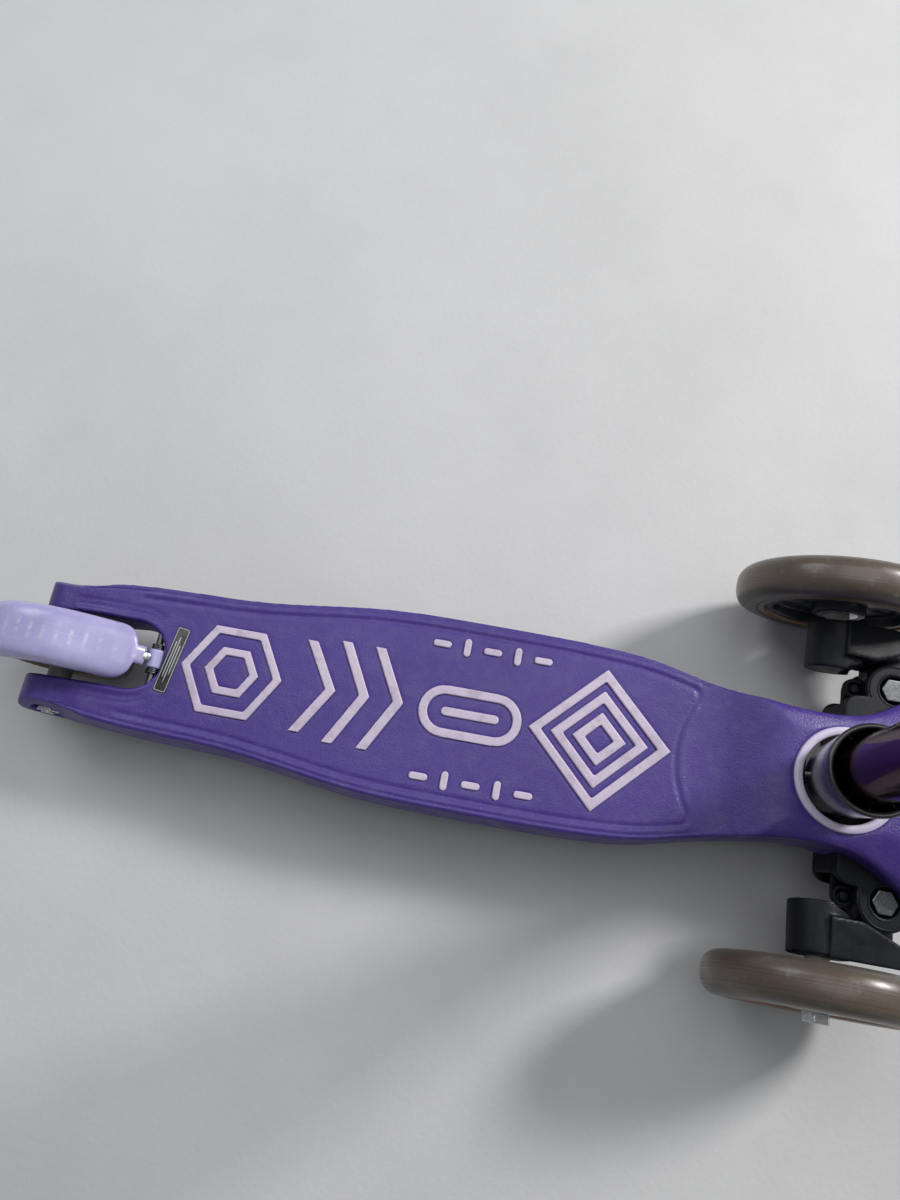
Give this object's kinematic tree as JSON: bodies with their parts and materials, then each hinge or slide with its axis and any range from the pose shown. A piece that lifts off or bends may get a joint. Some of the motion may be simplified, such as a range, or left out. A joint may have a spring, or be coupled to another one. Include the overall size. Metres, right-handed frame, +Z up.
{
  "type": "kick scooter",
  "caption": "Small child's lean-to-steer kick scooter: moulded deck, two front wheels on steering knuckles, rear wheel with fender brake, height-adjustable T-bar.",
  "frame": {"origin": "on the floor under the middle of the whole length and width", "axes": "+X forward, +Y to the rider's left, +Z up"},
  "size_m": [0.5598, 0.256, 0.6285],
  "materials": {
    "deck_plastic": "satin purple moulded plastic",
    "lavender_plastic": "semi-gloss lavender plastic",
    "label_black": "black film label",
    "black_plastic": "satin black moulded plastic",
    "gloss_black": "polished black plastic",
    "bright_steel": "zinc plated",
    "spacer_grey": "light grey bush plastic",
    "elastomer": "soft rubber",
    "anodised": "dark burgundy anodised, glossy",
    "silver_tube": "satin silver",
    "lever_alloy": "purple plastic",
    "grip_rubber": "soft lavender rubber",
    "button_lavender": "lavender plastic",
    "smoky_tyre": "smoky translucent polyurethane",
    "wheel_core": "dark glossy plastic"
  },
  "bodies": {
    "deck": {"deck_shell": "deck_plastic", "grip_inlay": "lavender_plastic", "deck_label": "label_black", "collar_ring": "lavender_plastic", "truck_beam": "black_plastic", "truck_cover": "black_plastic", "truck_screws": "bright_steel", "kingpin_bolts": "bright_steel", "kingpin_nuts": "bright_steel", "lean_pin": "bright_steel", "centring_pads": "elastomer", "rear_axle": "bright_steel", "rear_nut": "bright_steel", "rear_spacers": "spacer_grey", "brake_pin": "bright_steel", "brake_spring": "bright_steel"},
    "column": {"bar_holder": "gloss_black", "lean_bushes": "spacer_grey", "outer_tube": "anodised", "button_housing": "black_plastic", "button_spring": "bright_steel", "height_clamp": "gloss_black", "clamp_bolt": "bright_steel", "top_guide": "black_plastic"},
    "bar": {"slider_tube": "silver_tube", "bottom_guide": "black_plastic", "tee_joint": "black_plastic", "handlebar": "silver_tube", "grip_left": "grip_rubber", "grip_right": "grip_rubber"},
    "clamp_lever": {"clamp_lever": "lever_alloy"},
    "release_button": {"release_button": "button_lavender"},
    "tie_rod": {"tie_rod": "black_plastic"},
    "rear_wheel": {"rear_tyre": "smoky_tyre", "rear_core": "wheel_core", "rear_bearings": "bright_steel", "rear_bearing_sleeve": "spacer_grey"},
    "brake": {"fender_brake": "lavender_plastic"},
    "knuckle_left": {"knuckle_left": "black_plastic", "front_axle_left": "bright_steel", "axle_spacer_left": "spacer_grey"},
    "front_wheel_left": {"front_tyre_left": "smoky_tyre", "front_core_left": "wheel_core", "front_bearings_left": "bright_steel", "bearing_sleeve_left": "spacer_grey"},
    "knuckle_right": {"knuckle_right": "black_plastic", "front_axle_right": "bright_steel", "axle_spacer_right": "spacer_grey"},
    "front_wheel_right": {"front_tyre_right": "smoky_tyre", "front_core_right": "wheel_core", "front_bearings_right": "bright_steel", "bearing_sleeve_right": "spacer_grey"}
  },
  "joints": [
    {"name": "lean", "type": "hinge", "parent": "deck", "child": "column", "pos_m": [0.222, 0, 0.07], "axis": [1, 0, 0], "range_deg": [-12, 12], "stiffness_Nm_per_rad": 6, "deforming": ["centring_pads"]},
    {"name": "tie_rod_slide", "type": "slide", "parent": "deck", "child": "tie_rod", "axis": [0, 1, 0], "range_m": [-0.0069, 0.0069]},
    {"name": "bar_height", "type": "slide", "parent": "column", "child": "bar", "axis": [-0.1045, 0, 0.9945], "range_m": [-0.12, 0.06]},
    {"name": "clamp_lever_swing", "type": "hinge", "parent": "column", "child": "clamp_lever", "pos_m": [0.15254, 0.0143, 0.42468], "axis": [-0.1045, 0, 0.9945], "range_deg": [0, 120]},
    {"name": "release_button_press", "type": "slide", "parent": "column", "child": "release_button", "axis": [-0.9945, 0, -0.1045], "range_m": [0, 0.004], "stiffness_N_per_m": 900, "springref_m": -0.002, "deforming": ["button_spring"]},
    {"name": "rear_wheel_spin", "type": "hinge", "parent": "deck", "child": "rear_wheel", "pos_m": [-0.236, 0, 0.04], "axis": [0, 1, 0], "continuous": true},
    {"name": "brake_press", "type": "hinge", "parent": "deck", "child": "brake", "pos_m": [-0.175, 0, 0.058], "axis": [0, -1, 0], "range_deg": [0, 3.4], "stiffness_Nm_per_rad": 3, "springref_deg": -3.44, "deforming": ["brake_spring"]},
    {"name": "steer_left", "type": "hinge", "parent": "deck", "child": "knuckle_left", "pos_m": [0.256, 0.06, 0.04], "axis": [0, 0, 1], "range_deg": [-21, 21]},
    {"name": "front_wheel_left_spin", "type": "hinge", "parent": "knuckle_left", "child": "front_wheel_left", "pos_m": [0.22, 0.1107, 0.0597], "axis": [0, 0.9938, 0.1115], "continuous": true},
    {"name": "steer_right", "type": "hinge", "parent": "deck", "child": "knuckle_right", "pos_m": [0.256, -0.06, 0.04], "axis": [0, 0, 1], "range_deg": [-21, 21]},
    {"name": "front_wheel_right_spin", "type": "hinge", "parent": "knuckle_right", "child": "front_wheel_right", "pos_m": [0.22, -0.1107, 0.0597], "axis": [0, -0.9938, 0.1115], "continuous": true}
  ],
  "couplings": [
    {"joint": "tie_rod_slide", "follows": "lean", "m_per_rad": 0.03235},
    {"joint": "steer_left", "follows": "lean", "ratio": -1.735},
    {"joint": "steer_right", "follows": "lean", "ratio": -1.735}
  ]
}
